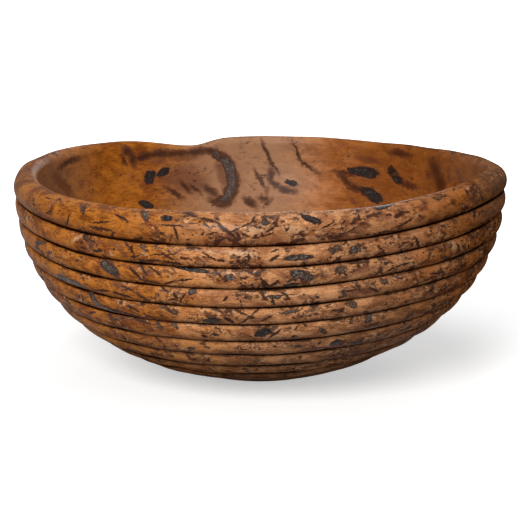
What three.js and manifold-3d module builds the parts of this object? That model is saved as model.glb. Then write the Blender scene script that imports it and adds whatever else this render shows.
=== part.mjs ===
// A beaded bowl turned from one burl, with its bark inclusions as separate pieces.
// Millimetres, +Z up. The origin is the middle of the foot, and the front of the bowl faces -Y.
import * as THREE from "three";
import { mergeVertices } from "three/addons/utils/BufferGeometryUtils.js";
import Module from "manifold-3d";

// Overall sizes
const bowlDiameter = 360;
const bowlHeight = 148;
const footDiameter = 102;

// Rim roll: its crest lies inside the outer face by the width, and above the widest point by the rise
const rimRollWidth = 11;
const rimRollRise = 10.5;
const rimWall = 17;

// Floor of the hollow, above the foot
const floorThickness = 18;

// Outer wall: it leaves the widest point upright and comes to the foot at a slope in degrees. It holds to the
// upright over a share of its height, and to the slope over a share of its way in.
const footSlope = 21.6;
const uprightShare = 0.775;
const slopeShare = 0.198;

// Beads turned in the wall, by their widths from the rim down. The plain base band is what they leave. A
// higher fullness makes them flatter with steeper sides. The shoulder is the point that rounds the upper edge
// of the base band, as a share of half a bead.
const beadWidths = [15.1, 15.2, 14.9, 15.3, 17.9, 17.9, 19.9, 20.3];
const beadFullness = 2.4;
const grooveDepth = 2.4;
const shoulderRound = 0.6;

// The wood moved as it dried: the rim end tips and the whole wall twists into a shallow saddle
const tipRise = 1;
const saddleRise = 4.4;
const saddleAzimuth = -18.7;
const flatFootHeight = 18;

// Waves that wear and drying left in the rim: the lift at the azimuth, how far it reaches to each side in
// degrees, and how far down the wall
const rimWaves = [
  { azimuth: 109, lift: -6.4, reachBefore: 4.5, reachAfter: 8.5, depth: 18 },
  { azimuth: 80, lift: 3, reachBefore: 22, reachAfter: 16, depth: 16 },
  { azimuth: -24, lift: 3, reachBefore: 16, reachAfter: 13, depth: 60 },
  { azimuth: -68, lift: -1, reachBefore: 14, reachAfter: 12, depth: 60 },
  { azimuth: -100, lift: 3.6, reachBefore: 24, reachAfter: 22, depth: 16 },
];

// Bark inclusions: how deep they are let in, and the gap that they keep to their pockets
const inclusionDepth = 4;
const inclusionGap = 0.3;

// How far the tool that cuts a pocket stands out of the wood
const prismStandoff = 14;

// Facets
const columns = 60;
const beadSteps = 5;
const rollSteps = 7;
const baseSteps = 6;
const innerEdgeSteps = 3;
const hollowSteps = 12;
const outlineSteps = 12;

// Colours of the waxed burl and of the inclusions
const burlWood = { color: 0x8a5226, roughness: 0.38, metalness: 0 };
const darkBark = { color: 0x1d2224, roughness: 0.3, metalness: 0 };
const slateBark = { color: 0x3c4a52, roughness: 0.3, metalness: 0 };

// Each inclusion by its place. On the outer wall that is the band (0 is the rim roll, 1 the bead below it)
// and how far across the band (-1 at its lower edge, 1 at its upper one). In the hollow it is the depth along
// the wall below the rim. The outline is a long oval that leans by the slope, is thicker towards its right
// end by the taper, and has ends that curl up by the bend. Azimuths, slopes and bends are in degrees.
const outerInclusions = [
  { name: "bark_rim_slash", azimuth: -115.1, band: 0, across: 0.4,
    length: 10, width: 3.6, slope: -50, finish: slateBark },
  { name: "bark_rim_oval", azimuth: -110, band: 0, across: 0.33,
    length: 8, width: 4.4, slope: -8, finish: darkBark },
  { name: "bark_rim_dot", azimuth: -89, band: 0, across: 0.23,
    length: 5, width: 4.4, finish: slateBark },
  { name: "bark_rim_streak", azimuth: -79.2, band: 0, across: 0.33,
    length: 14, width: 5.2, slope: -24, taper: -0.5, finish: darkBark },
  { name: "bark_rim_crest", azimuth: -62.1, band: 0, across: 0.83,
    length: 17, width: 5, slope: 8, taper: -0.2, finish: darkBark },
  { name: "bark_bead1_bar", azimuth: -81.9, band: 1, across: -0.07,
    length: 20, width: 4.4, slope: -3, taper: -0.25, finish: slateBark },
  { name: "bark_bead1_spot", azimuth: -70, band: 1, across: 0.15,
    length: 7.5, width: 5.5, slope: 20, finish: slateBark },
  { name: "bark_bead2_left", azimuth: -124, band: 2, across: 0.28,
    length: 16, width: 9, slope: -28, finish: slateBark },
  { name: "bark_bead2_streak", azimuth: -104.6, band: 2, across: 0.7,
    length: 26, width: 3.2, slope: -7, finish: darkBark },
  { name: "bark_bead2_oval", azimuth: -96.4, band: 2, across: 0.25,
    length: 7.5, width: 3.6, finish: slateBark },
  { name: "bark_bead2_mottle", azimuth: -81.5, band: 2, across: 0.23,
    length: 15, width: 7, slope: -14, finish: slateBark },
  { name: "bark_bead2_lobe", azimuth: -83.5, band: 2, across: -0.55,
    length: 11, width: 4, slope: 10, finish: darkBark },
  { name: "bark_bead3_left", azimuth: -138.4, band: 3, across: -0.12,
    length: 34, width: 5.2, slope: -4, finish: slateBark },
  { name: "bark_bead3_spot", azimuth: -104.8, band: 3, across: 0.58,
    length: 5.6, width: 4, slope: 30, finish: slateBark },
  { name: "bark_bead3_lens", azimuth: -87, band: 3, across: 0.3,
    length: 10, width: 2.6, finish: slateBark },
  { name: "bark_bead4_hook", azimuth: -130.4, band: 4, across: -0.05,
    length: 30, width: 5.4, slope: -38, taper: -0.4, bend: 75, finish: slateBark },
  { name: "bark_bead4_bar", azimuth: -100.9, band: 4, across: -0.2,
    length: 13, width: 5, slope: 12, finish: darkBark },
  { name: "bark_bead5_patch", azimuth: -89.5, band: 5, across: 0.33,
    length: 11, width: 7, slope: 35, finish: darkBark },
  { name: "bark_bead5_spot", azimuth: -63.5, band: 5, across: 0.55,
    length: 7.5, width: 5, slope: 80, finish: slateBark },
  { name: "bark_bead6_patch", azimuth: -70, band: 6, across: 0.23,
    length: 8, width: 6, slope: 10, finish: darkBark },
];
const hollowInclusions = [
  { name: "bark_hollow_crescent", azimuth: 98.4, below: 27,
    length: 68, width: 9, slope: 90, taper: 0.35, bend: 165, finish: slateBark },
  { name: "bark_hollow_left_lower", azimuth: 124.1, below: 24,
    length: 14, width: 9, slope: 35, finish: darkBark },
  { name: "bark_hollow_left_upper", azimuth: 119.6, below: 21,
    length: 14, width: 7, slope: 28, finish: darkBark },
  { name: "bark_hollow_left_low", azimuth: 127.5, below: 46,
    length: 16, width: 6.5, slope: -20, finish: darkBark },
  { name: "bark_hollow_centre", azimuth: 80.5, below: 29.2,
    length: 12, width: 5, slope: -12, finish: darkBark },
  { name: "bark_hollow_right_bar", azimuth: 58.5, below: 17.6,
    length: 30, width: 9.5, slope: -4, taper: 0.3, finish: darkBark },
  { name: "bark_hollow_right_hook", azimuth: 47.5, below: 18.4,
    length: 20, width: 8, slope: -35, bend: 40, finish: darkBark },
  { name: "bark_hollow_right_low", azimuth: 54.8, below: 35.9,
    length: 28, width: 9, slope: -18, taper: 0.3, finish: darkBark },
];

const wasm = await Module();
wasm.setup();

// Sizes that follow from the driving dimensions
const wallRadius = bowlDiameter / 2;
const footRadius = footDiameter / 2;
const widestHeight = bowlHeight - rimRollRise;
const crestRadius = wallRadius - rimRollWidth;
const hollowRadius = wallRadius - rimWall;
const innerEdgeWidth = rimWall - rimRollWidth;
const slopeReach = slopeShare * (wallRadius - footRadius);
const hollowTop = bowlHeight - innerEdgeWidth;
const hollowDrop = hollowTop - floorThickness;

const radians = THREE.MathUtils.degToRad;

// The outer wall without its beads, from the widest point down to the foot, and the hollow down to its
// floor. The first is a cubic curve and the second an arc of an ellipse, in a plane of radius and height.
const outerWall = new THREE.CubicBezierCurve(
  new THREE.Vector2(wallRadius, widestHeight),
  new THREE.Vector2(wallRadius, widestHeight * (1 - uprightShare)),
  new THREE.Vector2(
    footRadius + slopeReach * Math.cos(radians(footSlope)),
    slopeReach * Math.sin(radians(footSlope)),
  ),
  new THREE.Vector2(footRadius, 0),
);
const hollowWall = new THREE.EllipseCurve(0, hollowTop, hollowRadius, hollowDrop, 0, -Math.PI / 2, true);

// The roll ends where it has come in by the depth of a groove, and the first groove is there
const rollUndercut = Math.acos(1 - grooveDepth / rimRollWidth);
const firstGroove = rimRollRise * Math.sin(rollUndercut);

// Distances of the grooves along the wall
const grooves = [firstGroove];
for (const width of beadWidths) grooves.push(grooves.at(-1) + width);

// A step that is small on the scale of the surface, to find its directions, and one at which vertices are one
const smallStep = 0.01;
const sameVertex = 1e-4;

// A point of the outer wall at a distance along it from the widest point, cut in square to the wall
function wallPoint(along, inset = 0) {
  const u = along / outerWall.getLength();
  const point = outerWall.getPointAt(u);
  const tangent = outerWall.getTangentAt(u);
  return point.addScaledVector(new THREE.Vector2(tangent.y, -tangent.x), inset);
}

// How far the turned surface lies inside the plain wall, across one bead from groove to groove
function beadInset(across) {
  return grooveDepth * Math.pow(Math.abs(across), beadFullness);
}

// The section of the bowl from the middle of the foot, up the outer wall, over the rim and down the hollow
function bowlProfile() {
  const points = [new THREE.Vector2(0, 0)];
  const foot = outerWall.getLength();
  const shoulder = beadWidths.at(-1) / 2;
  const plainWidth = foot - grooves.at(-1) - shoulder;
  for (let i = 0; i < baseSteps; i++) {
    points.push(wallPoint(foot - (plainWidth * i) / (baseSteps - 1)));
  }
  points.push(wallPoint(grooves.at(-1) + shoulder * (1 - shoulderRound), beadInset(shoulderRound)));
  for (let k = beadWidths.length - 1; k >= 0; k--) {
    for (let i = 0; i < beadSteps; i++) {
      const across = (2 * i) / beadSteps - 1;
      points.push(wallPoint(grooves[k] + (beadWidths[k] * (1 - across)) / 2, beadInset(across)));
    }
  }
  for (let i = 0; i <= rollSteps; i++) {
    const angle = -rollUndercut + ((Math.PI / 2 + rollUndercut) * i) / rollSteps;
    const radius = crestRadius + rimRollWidth * Math.cos(angle);
    points.push(new THREE.Vector2(radius, widestHeight + rimRollRise * Math.sin(angle)));
  }
  for (let i = 1; i < innerEdgeSteps; i++) {
    const angle = (Math.PI / 2) * (1 + i / innerEdgeSteps);
    const radius = crestRadius + innerEdgeWidth * Math.cos(angle);
    points.push(new THREE.Vector2(radius, hollowTop + innerEdgeWidth * Math.sin(angle)));
  }
  points.push(...hollowWall.getSpacedPoints(hollowSteps));
  points.at(-1).x = 0;
  return points;
}

// The lift that the rim's waves give a point of the turned bowl, at an azimuth in degrees
function rimLift(azimuth, height) {
  let lift = 0;
  for (const wave of rimWaves) {
    const away = THREE.MathUtils.euclideanModulo(azimuth - wave.azimuth + 180, 360) - 180;
    const reach = away < 0 ? wave.reachBefore : wave.reachAfter;
    const nearRim = THREE.MathUtils.smoothstep(height, bowlHeight - wave.depth, bowlHeight);
    lift += wave.lift * nearRim * Math.exp(-0.5 * (away / reach) ** 2);
  }
  return lift;
}

// Moves a point of the bowl as it was turned to where the dried and worn wood has it. The foot stays flat.
function dry(point) {
  const radius = Math.hypot(point.x, point.y);
  const azimuth = Math.atan2(point.y, point.x);
  const share = radius / wallRadius;
  const tip = tipRise * share * Math.cos(azimuth);
  const saddle = saddleRise * share ** 2 * Math.cos(2 * (azimuth - radians(saddleAzimuth)));
  const aboveFoot = THREE.MathUtils.smoothstep(point.z, 0, flatFootHeight);
  point.z += (tip + saddle) * aboveFoot + rimLift(THREE.MathUtils.radToDeg(azimuth), point.z);
  return point;
}

// A solid from a closed geometry
function solidFrom(geometry) {
  const bare = geometry.clone();
  bare.deleteAttribute("normal");
  bare.deleteAttribute("uv");
  const merged = mergeVertices(bare, sameVertex);
  const vertProperties = merged.attributes.position.array;
  const triVerts = new Uint32Array(merged.index.array);
  return new wasm.Manifold(new wasm.Mesh({ numProp: 3, vertProperties, triVerts }));
}

// A geometry from a solid
function geometryFrom(solid) {
  const { vertProperties, triVerts } = solid.getMesh();
  const geometry = new THREE.BufferGeometry();
  geometry.setAttribute("position", new THREE.BufferAttribute(vertProperties, 3));
  geometry.setIndex(new THREE.BufferAttribute(triVerts, 1));
  geometry.computeVertexNormals();
  return geometry;
}

// The bowl as one turned and dried solid, before its pockets are cut
function turnedBowl() {
  const geometry = new THREE.LatheGeometry(bowlProfile(), columns);
  geometry.rotateX(Math.PI / 2);
  const position = geometry.attributes.position;
  const point = new THREE.Vector3();
  for (let i = 0; i < position.count; i++) {
    dry(point.fromBufferAttribute(position, i));
    position.setXYZ(i, point.x, point.y, point.z);
  }
  return solidFrom(geometry);
}

// A point of the dried outer wall, by its band, how far it is across the band and its azimuth in radians
function outerPoint(band, across, azimuth) {
  let section;
  if (band === 0) {
    const angle = THREE.MathUtils.lerp(-rollUndercut, Math.PI / 2, (across + 1) / 2);
    const radius = crestRadius + rimRollWidth * Math.cos(angle);
    section = new THREE.Vector2(radius, widestHeight + rimRollRise * Math.sin(angle));
  } else {
    section = wallPoint(grooves[band - 1] + (beadWidths[band - 1] * (1 - across)) / 2);
  }
  return dry(new THREE.Vector3(section.x * Math.cos(azimuth), section.x * Math.sin(azimuth), section.y));
}

// A point of the dried wall of the hollow, by its depth below the rim and its azimuth in radians
function hollowPoint(below, azimuth) {
  const section = hollowWall.getPointAt(below / hollowWall.getLength());
  return dry(new THREE.Vector3(section.x * Math.cos(azimuth), section.x * Math.sin(azimuth), section.y));
}

// The frame of a surface patch as its onlooker sees it: X to the right, Y up the wall and Z out of the wood
function patchFrame(point, pointToRight, pointAbove) {
  const right = pointToRight.sub(point).normalize();
  const out = right.clone().cross(pointAbove.sub(point)).normalize();
  const up = out.clone().cross(right);
  return new THREE.Matrix4().makeBasis(right, up, out).setPosition(point);
}

function outerFrame({ band, across, azimuth }) {
  const turn = radians(azimuth);
  const point = outerPoint(band, across, turn);
  const toRight = outerPoint(band, across, turn + smallStep);
  return patchFrame(point, toRight, outerPoint(band, across + smallStep, turn));
}

// Seen from inside the hollow, the azimuth falls to the right
function hollowFrame({ below, azimuth }) {
  const turn = radians(azimuth);
  const point = hollowPoint(below, turn);
  const toRight = hollowPoint(below, turn - smallStep);
  return patchFrame(point, toRight, hollowPoint(below - smallStep, turn));
}

// The outline of an inclusion, from its right end round by its upper side
function inclusionOutline({ length, width, slope = 0, taper = 0, bend = 0 }) {
  return Array.from({ length: outlineSteps }, (_, i) => {
    const turn = (2 * Math.PI * i) / outlineSteps;
    const along = (length / 2) * Math.cos(turn);
    const aside = (width / 2) * Math.sin(turn) * (1 + taper * Math.cos(turn));
    const curl = (radians(bend) * along) / length;
    const spine = bend === 0 ? new THREE.Vector2(along, 0) : curledSpine(length / radians(bend), curl);
    spine.add(new THREE.Vector2(-Math.sin(curl), Math.cos(curl)).multiplyScalar(aside));
    return spine.rotateAround(new THREE.Vector2(), radians(slope));
  });
}

// A point of a spine that is an arc of a circle, which touches the X axis at the origin
function curledSpine(radius, curl) {
  return new THREE.Vector2(radius * Math.sin(curl), radius * (1 - Math.cos(curl)));
}

// An outline that lies outside another by a margin all round
function widened(outline, margin) {
  return outline.map((point, i) => {
    const before = point.clone().sub(outline.at(i - 1)).normalize();
    const after = outline[(i + 1) % outline.length].clone().sub(point).normalize();
    const along = before.add(after).normalize();
    const outward = new THREE.Vector2(along.y, -along.x);
    return point.clone().addScaledVector(outward, margin / along.dot(after));
  });
}

// A straight-sided solid over an outline, from a depth in the wood to clear outside it
function prismOver(outline, depth, frame) {
  const options = { depth: depth + prismStandoff, steps: 1, bevelEnabled: false };
  const geometry = new THREE.ExtrudeGeometry(new THREE.Shape(outline), options);
  geometry.translate(0, 0, -depth);
  geometry.applyMatrix4(frame);
  return solidFrom(geometry);
}

function namedMesh(name, geometry, finish) {
  const mesh = new THREE.Mesh(geometry, new THREE.MeshStandardMaterial(finish));
  mesh.name = name;
  return mesh;
}

// Each inclusion takes its face from the turned bowl, and the bowl gets a pocket that clears it all round
const placedInclusions = [
  ...outerInclusions.map((inclusion) => ({ inclusion, frame: outerFrame(inclusion) })),
  ...hollowInclusions.map((inclusion) => ({ inclusion, frame: hollowFrame(inclusion) })),
];
const turned = turnedBowl();
const bowl = new THREE.Group();
bowl.name = "burl_bowl";
let body = turned;
for (const { inclusion, frame } of placedInclusions) {
  const outline = inclusionOutline(inclusion);
  const filling = prismOver(outline, inclusionDepth, frame).intersect(turned);
  const pocket = prismOver(widened(outline, inclusionGap), inclusionDepth + inclusionGap, frame);
  body = body.subtract(pocket);
  bowl.add(namedMesh(inclusion.name, geometryFrom(filling), inclusion.finish));
}
bowl.add(namedMesh("bowl_body", geometryFrom(body), burlWood));

export default bowl;
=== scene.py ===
"""A burl wood bowl: its turned and beaded body, the bark inclusions in it, and a plain stage.

Metres, +Z up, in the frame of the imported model, with the front of the bowl towards -Y. Colours are
written as display values from 0 to 255.
"""
import math
from typing import NamedTuple

import bpy
import numpy as np
from bpy.props import FloatProperty, FloatVectorProperty, PointerProperty
from mathutils import Matrix, Vector


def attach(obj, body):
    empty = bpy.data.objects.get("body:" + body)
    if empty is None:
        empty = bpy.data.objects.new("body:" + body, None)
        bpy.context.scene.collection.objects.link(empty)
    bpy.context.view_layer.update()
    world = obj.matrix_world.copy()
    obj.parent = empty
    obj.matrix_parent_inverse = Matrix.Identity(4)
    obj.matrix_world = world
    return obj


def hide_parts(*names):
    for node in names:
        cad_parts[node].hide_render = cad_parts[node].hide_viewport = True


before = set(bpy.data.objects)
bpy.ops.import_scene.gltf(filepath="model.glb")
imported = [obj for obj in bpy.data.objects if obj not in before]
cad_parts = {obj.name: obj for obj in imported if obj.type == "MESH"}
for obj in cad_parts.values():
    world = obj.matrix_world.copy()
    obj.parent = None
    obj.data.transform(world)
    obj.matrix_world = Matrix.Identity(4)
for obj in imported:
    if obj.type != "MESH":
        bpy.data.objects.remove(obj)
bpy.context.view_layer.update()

bl_info = {
    "name": "Burl Bowl",
    "version": (1, 0, 0),
    "blender": (4, 5, 0),
    "location": "3D View > Sidebar > Burl Bowl",
    "description": "Makes a beaded bowl turned from one burl, with bark inclusions and wax finish",
    "category": "Add Mesh",
}

MM = 0.001


def tint(red, green, blue):
    """Linear colour of a display colour from 0 to 255: each part to the power of the display's curve."""
    parts = np.array([red, green, blue]) / 255
    linear = np.where(parts > 0.04045, ((parts + 0.055) / 1.055) ** 2.4, parts / 12.92)
    return tuple(float(part) for part in linear)


def size_prop(name, description, default, **kind):
    """A number that a user can change: a length, unless another kind is given."""
    kind = kind or {"unit": "LENGTH", "precision": 4}
    return FloatProperty(name=name, description=description, default=default, **kind)


def colour_prop(name, description, *display):
    return FloatVectorProperty(name=name, description=description, default=tint(*display),
                               subtype="COLOR", size=3, min=0, max=1)


class BURLBOWL_PG_sizes(bpy.types.PropertyGroup):
    """Sizes of the turned form, as the wood was before it dried."""

    diameter: size_prop("Diameter", "Across the widest point", 0.360)
    height: size_prop("Height", "From the foot to the crest of the rim", 0.148)
    foot_diameter: size_prop("Foot", "Across the flat foot", 0.102)
    foot_round: size_prop("Foot edge", "Rounding of the foot's edge", 0.0016)
    foot_slope: size_prop("Foot slope", "Slope of the wall at the foot", math.radians(21.6), subtype="ANGLE")
    upright_share: size_prop("Upright", "Share of the height that holds to the upright", 0.775,
                             subtype="FACTOR")
    slope_share: size_prop("Sloping", "Share of the way in that holds to the foot slope", 0.198,
                           subtype="FACTOR")
    roll_width: size_prop("Roll width", "From the crest of the rim out to the widest point", 0.011)
    roll_rise: size_prop("Roll rise", "From the widest point up to the crest", 0.0105)
    rim_wall: size_prop("Rim wall", "Thickness of the wall at the rim", 0.017)
    floor: size_prop("Floor", "Thickness of the wood under the hollow", 0.018)
    bead_widths: FloatVectorProperty(
        name="Beads", description="Widths of the beads from the rim down", size=8, unit="LENGTH", precision=4,
        default=(0.0151, 0.0152, 0.0149, 0.0153, 0.0179, 0.0179, 0.0199, 0.0203))
    bead_fullness: size_prop("Bead fullness", "Higher makes flatter beads", 2.4, precision=2)
    groove_depth: size_prop("Groove depth", "From the top of a bead to the foot of its sides", 0.0024)
    cut_depth: size_prop("Cut depth", "How far the point of the tool went below that", 0.0013)
    cut_width: size_prop("Cut width", "Half the width of that cut", 0.0006)
    tip_rise: size_prop("Tip", "How far drying lifted the side towards +X", 0.001)
    saddle_rise: size_prop("Saddle", "How far drying bent the rim into a saddle", 0.0044)
    saddle_turn: size_prop("Saddle azimuth", "Where it is highest", math.radians(-18.7), subtype="ANGLE")
    flat_foot: size_prop("Flat foot", "Height under which the foot stayed flat", 0.018)
    waver: size_prop("Waver", "Unevenness that hand tools and wear left in the surface", 0.00025)
    wander: size_prop("Wander", "How far the grooves stray up and down", 0.00045)


class BURLBOWL_PG_colours(bpy.types.PropertyGroup):
    """Colours of the waxed wood and of the bark in it, some of which also serve as painted sheen, highlight
    and shade.
    """

    honey: colour_prop("Honey", "Lightest of the plain wood", 181, 109, 33)
    amber: colour_prop("Amber", "Darker plain wood", 111, 56, 13)
    # Rose: the pinkish tan of the middle, partly the wood's own tone and partly a painted sheen
    rose: colour_prop("Rose", "Pinkish tan where the wax is worn thin", 209, 151, 106)
    chestnut: colour_prop("Chestnut", "Darker wood beside the rose", 148, 94, 58)
    russet: colour_prop("Russet", "Lightest of the right side", 170, 98, 38)
    # Umber: dark wood of the figure, also used for painted shade on the right side, towards the bottom, on
    # the beads' lower parts and beside the grooves
    umber: colour_prop("Umber", "Darkened wood of the right side and the foot", 68, 31, 9)
    tan: colour_prop("Tan", "Pale flecks", 222, 176, 134)
    # Sheen tan: greyish tan of a painted sheen on the beads' tops, the rim's ends and inside the hollow
    sheen_tan: colour_prop("Dusk", "Greyish tan inside, where the finish has dulled", 152, 116, 90)
    plum: colour_prop("Plum", "Purple brown round the burl's figure", 94, 53, 40)
    stain: colour_prop("Stain", "Brown in the dark strokes", 50, 29, 21)
    ink: colour_prop("Ink", "Dark strokes", 22, 13, 10)
    # Groove: near black painted into the grooves as shade
    groove: colour_prop("Groove", "Old wax in the grooves", 14, 6, 2)
    slate: colour_prop("Slate", "Grey bark", 78, 67, 61)
    # Pale slate: paler spots of the bark, partly a painted highlight
    slate_pale: colour_prop("Pale slate", "Polished spots of the bark", 116, 103, 92)
    soot: colour_prop("Soot", "Near black bark", 32, 26, 22)


class BURLBOWL_PG_settings(bpy.types.PropertyGroup):
    sizes: PointerProperty(type=BURLBOWL_PG_sizes)
    colours: PointerProperty(type=BURLBOWL_PG_colours)


# Waves that wear and drying left in the rim: azimuth in degrees, lift in millimetres, how far the wave
# reaches to each side in degrees, and how far down the wall in millimetres
RIM_WAVES = [
    (109, -6.4, 4.5, 8.5, 18), (80, 3, 22, 16, 16), (-24, 3, 16, 13, 60), (-68, -1, 14, 12, 60),
    (-100, 3.6, 24, 22, 16),
]

# Rows of the body's grid on each stretch of its section, and columns round it
HOLLOW_ROWS, EDGE_ROWS, ROLL_ROWS, BEAD_ROWS, BASE_ROWS, FOOT_ROWS = 32, 8, 22, 14, 17, 6
COLUMNS = 480

# The power by which the rows of the plain base crowd towards its groove
BASE_CROWDING = 1.7

# Points along each stretch of the section's line, from which the rows take their places
LINE_POINTS, FOOT_POINTS, FOOT_EDGE_POINTS = 4000, 1000, 200

# Waves of the unevenness and of the grooves' wander: most turns round the bowl, reach in metres and seed
WAVER, WANDER = (26, 0.05, 3), (9, 0.12, 5)

# The heights and radii between which those waves grow: the foot and the hollow's middle stay even
EVEN_HEIGHTS, EVEN_RADII = (0.002, 0.012), (0.01, 0.05)

# How far the calm figure of the hollow reaches over the crest at the back, and the distances inside that
# edge over which it sets in, in metres
BACK_REACH = 0.01
CALM_EDGE = (0.004, 0.012)


def smoothstep(value, low, high):
    """0 below low, 1 above high, and 3t^2 - 2t^3 between, where t is the share of the way."""
    share = np.clip((value - low) / (high - low), 0, 1)
    return share * share * (3 - 2 * share)


def travelled(line):
    """Distance along a line of points from its start."""
    return np.concatenate([[0], np.cumsum(np.hypot(*np.diff(line, axis=1)))])


def at_right_angles(step):
    """Unit vectors on the left of the steps along a line."""
    return np.stack([-step[1], step[0]]) / np.hypot(*step)


def to_nearest(values, marks):
    """Distance of each value from the mark nearest to it."""
    return np.abs(values[:, None] - marks).min(axis=1)


def share_between(edges, value):
    """How far a value is from the edge before it to the edge after it, from 0 to 1."""
    after = np.clip(np.searchsorted(edges, value, side="right"), 1, len(edges) - 1)
    return (value - edges[after - 1]) / (edges[after] - edges[after - 1])


def ellipse(middle, half_width, half_height, start, end):
    """Points of an ellipse: middle + (half_width cos t, half_height sin t), for t from start to end, with
    the unit normals (half_height cos t, half_width sin t)."""
    turn = np.linspace(start, end, LINE_POINTS)
    line = np.stack([middle[0] + half_width * np.cos(turn), middle[1] + half_height * np.sin(turn)])
    normal = np.stack([half_height * np.cos(turn), half_width * np.sin(turn)])
    return line, normal / np.hypot(*normal)


def wall_curve(sizes, radius, widest):
    """Points and outward normals of the outer wall without its beads: the cubic curve
    (1 - t)^3 a + 3 (1 - t)^2 t b + 3 (1 - t) t^2 c + t^3 d, from the widest point a down to the foot d."""
    foot = sizes.foot_diameter / 2
    reach = sizes.slope_share * (radius - foot)
    landing = foot + reach * math.cos(sizes.foot_slope), reach * math.sin(sizes.foot_slope)
    a, b, c, d = np.array([
        (radius, widest), (radius, widest * (1 - sizes.upright_share)), landing, (foot, 0)])[..., None]
    t = np.linspace(0, 1, LINE_POINTS)
    line = (1 - t) ** 3 * a + 3 * (1 - t) ** 2 * t * b + 3 * (1 - t) * t ** 2 * c + t ** 3 * d
    step = (1 - t) ** 2 * (b - a) + 2 * (1 - t) * t * (c - b) + t ** 2 * (d - c)
    return line, at_right_angles(step)


class Section:
    """The turned section as a line from the middle of the hollow, over the rim, to the middle of the foot.

    way is the distance along it from the crest of the rim: positive down the outside, negative down the
    hollow. A bead's surface lies inside the outer wall by groove_depth |across|^fullness, where across runs
    from 1 at its upper groove to -1 at its lower one, and the tool's cut adds a bell at each groove.
    """

    def __init__(self, sizes):
        radius = sizes.diameter / 2
        widest = sizes.height - sizes.roll_rise
        crest = radius - sizes.roll_width
        inner = sizes.rim_wall - sizes.roll_width
        hollow_top = sizes.height - inner
        self.sizes = sizes

        drop = hollow_top - sizes.floor
        hollow, _ = ellipse((0, hollow_top), radius - sizes.rim_wall, drop, -math.pi / 2, 0)
        edge, _ = ellipse((crest, hollow_top), inner, inner, math.pi, math.pi / 2)
        undercut = math.acos(1 - sizes.groove_depth / sizes.roll_width)
        roll, roll_out = ellipse((crest, widest), sizes.roll_width, sizes.roll_rise, math.pi / 2, -undercut)
        wall, wall_out, along, grooves = self.beaded_wall(sizes, radius, widest, undercut)

        # The roll runs out into the first groove, and the wall's line starts there
        step = np.hypot(*(roll[:, -1] - wall[:, 0]))
        short_of_end = travelled(roll)[-1] - travelled(roll)
        roll = roll - roll_out * (sizes.cut_depth + step) * np.exp(-(short_of_end / sizes.cut_width) ** 2)
        to_groove = to_nearest(along, grooves)
        wall = wall - wall_out * sizes.cut_depth * np.exp(-(to_groove / sizes.cut_width) ** 2)

        base = wall[:, travelled(wall)[-1] - travelled(wall) > sizes.foot_round]
        corner = np.array([sizes.foot_diameter / 2, 0])
        landing = corner - [sizes.foot_round, 0]
        share = np.linspace(0, 1, FOOT_EDGE_POINTS)
        foot_edge = (base[:, -1:] * (1 - share) ** 2 + corner[:, None] * 2 * share * (1 - share)
                     + landing[:, None] * share ** 2)
        foot = np.stack([np.linspace(landing[0], 0, FOOT_POINTS), np.zeros(FOOT_POINTS)])

        parts = [hollow, edge[:, 1:], roll[:, 1:], base, foot_edge[:, 1:], foot[:, 1:]]
        ends = np.cumsum([part.shape[1] for part in parts]) - 1
        self.line = np.concatenate(parts, axis=1)
        gone = travelled(self.line)
        self.way = gone - gone[ends[1]]
        self.normal = at_right_angles(np.gradient(self.line, axis=1))
        self.hollow_way, self.foot_way, self.landing_way = self.way[ends[[0, 3, 4]]]
        wall_way = self.way[ends[2] + 1:ends[3] + 1]
        self.groove_ways = np.interp(grooves, along[:base.shape[1]], wall_way)

    @staticmethod
    def beaded_wall(sizes, radius, widest, undercut):
        """The outer wall from the first groove to the foot, its normals, the distance of each point along it
        and the distances of the grooves. Below the middle of a bead as wide as the last it is plain."""
        wall, out = wall_curve(sizes, radius, widest)
        along = travelled(wall)
        widths = np.array(sizes.bead_widths)
        first = sizes.roll_rise * math.sin(undercut)
        edges = first + np.concatenate([[0], np.cumsum(widths), [widths.sum() + widths[-1]]])
        kept = along >= first
        wall, out, along = wall[:, kept], out[:, kept], along[kept]
        across = 1 - 2 * share_between(edges, along)
        across[along > edges[-2] + widths[-1] / 2] = 0
        inset = sizes.groove_depth * np.abs(across) ** sizes.bead_fullness
        return wall - out * inset, out, along, edges[:-1]

    def at(self, way):
        """Radius, height and the outward normal of the section at a way."""
        return [np.interp(way, self.way, values) for values in (*self.line, *self.normal)]

    def down_bead(self, way):
        """How far down its bead a way is: 0 at the upper groove or the crest, and 1 at the lower groove."""
        edges = np.array([0, *self.groove_ways])
        return np.where((way > 0) & (way < edges[-1]), share_between(edges, way), 0)

    def rows(self):
        """Ways of the body's rows. On a bead they crowd towards the grooves, as (1 - cos t) / 2 does."""
        def crowded(start, end, count):
            return start + (end - start) * (1 - np.cos(np.linspace(0, math.pi, count + 1))) / 2

        first, last = self.groove_ways[0], self.groove_ways[-1]
        stretches = [
            np.linspace(self.way[0], self.hollow_way, HOLLOW_ROWS + 1),
            np.linspace(self.hollow_way, 0, EDGE_ROWS + 1),
            first - first * np.cos(np.linspace(0, math.pi / 2, ROLL_ROWS + 1)),
            *[crowded(a, b, BEAD_ROWS) for a, b in zip(self.groove_ways, self.groove_ways[1:])],
            last + (self.foot_way - last) * np.linspace(0, 1, BASE_ROWS + 1) ** BASE_CROWDING,
            np.linspace(self.foot_way, self.landing_way, FOOT_ROWS + 1),
            np.linspace(self.landing_way, self.way[-1], FOOT_ROWS + 1),
        ]
        return np.concatenate([stretches[0], *[stretch[1:] for stretch in stretches[1:]]])


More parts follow.
